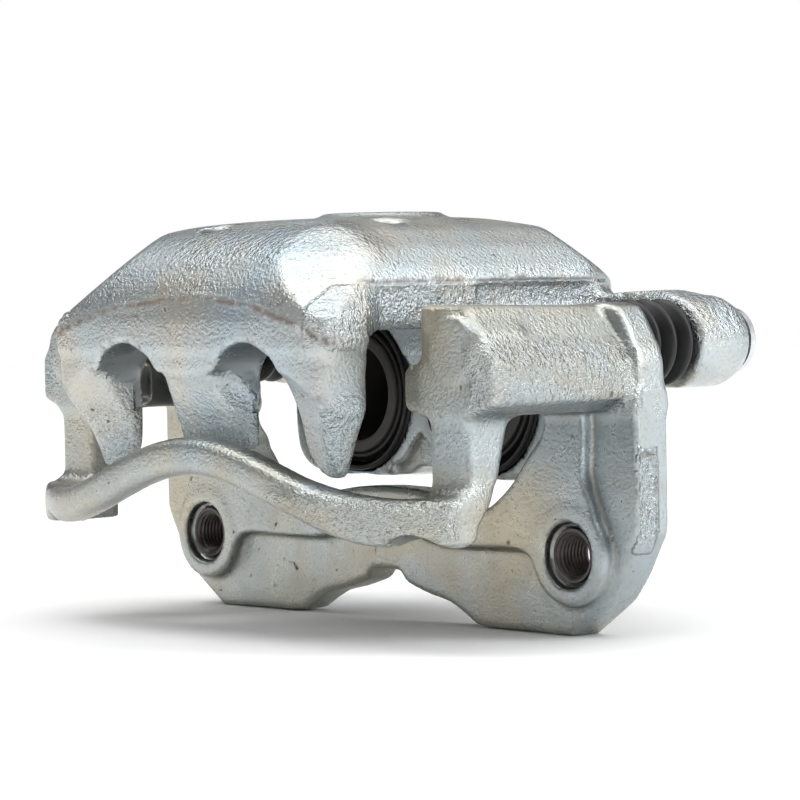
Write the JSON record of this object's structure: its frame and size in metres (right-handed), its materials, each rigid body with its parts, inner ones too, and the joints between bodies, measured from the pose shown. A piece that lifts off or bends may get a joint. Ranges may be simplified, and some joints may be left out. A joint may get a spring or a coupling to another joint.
{
  "type": "disc brake caliper",
  "caption": "Floating disc brake caliper on its cast bracket, with hydraulic pistons, sliding guide pins, rubber dust boots and a bleeder; it straddles a disc and squeezes two pads.",
  "frame": {"origin": "midway between the two mounting holes, on the face of the mounting bosses that meets the knuckle", "axes": "+X across the caliper from one mounting hole to the other, the side the passage plug is not on; +Y inboard, towards the knuckle and along the pistons and guide pins; +Z away from the wheel's axle"},
  "size_m": [0.1944, 0.1474, 0.112],
  "materials": {
    "bracket_zinc": "rough cast, zinc plated",
    "housing_zinc": "rough cast, zinc plated",
    "piston": "matte",
    "pin_steel": "satin",
    "ring_steel": "dark",
    "yellow_zinc": "satin",
    "cap_rubber": "matte",
    "rubber": "matte"
  },
  "bodies": {
    "bracket": {"bracket": "bracket_zinc"},
    "caliper": {"caliper_housing": "housing_zinc", "guide_pin": "pin_steel", "lock_pin": "pin_steel", "lock_pin_bushing": "rubber", "guide_pin_boot": "rubber", "lock_pin_boot": "rubber", "piston_seal_left": "rubber", "piston_seal_right": "rubber", "piston_boot_left": "rubber", "piston_boot_right": "rubber", "boot_ring_left": "ring_steel", "boot_ring_right": "ring_steel", "passage_plug": "yellow_zinc"},
    "piston_left": {"piston_left": "piston"},
    "piston_right": {"piston_right": "piston"},
    "bleeder": {"bleeder_screw": "yellow_zinc", "bleeder_cap": "cap_rubber"}
  },
  "joints": [
    {"name": "caliper_slide", "type": "slide", "parent": "bracket", "child": "caliper", "axis": [0, 1, 0], "range_m": [-0.001, 0.02], "deforming": ["guide_pin_boot", "lock_pin_boot"]},
    {"name": "piston_left_slide", "type": "slide", "parent": "caliper", "child": "piston_left", "axis": [0, -1, 0], "range_m": [0, 0.019], "deforming": ["piston_boot_left"]},
    {"name": "piston_right_slide", "type": "slide", "parent": "caliper", "child": "piston_right", "axis": [0, -1, 0], "range_m": [0, 0.019], "deforming": ["piston_boot_right"]},
    {"name": "bleeder_turn", "type": "hinge", "parent": "caliper", "child": "bleeder", "pos_m": [-0.0255, 0.04, 0.058], "axis": [0, 0.8191, 0.5736], "range_deg": [0, 360]}
  ]
}
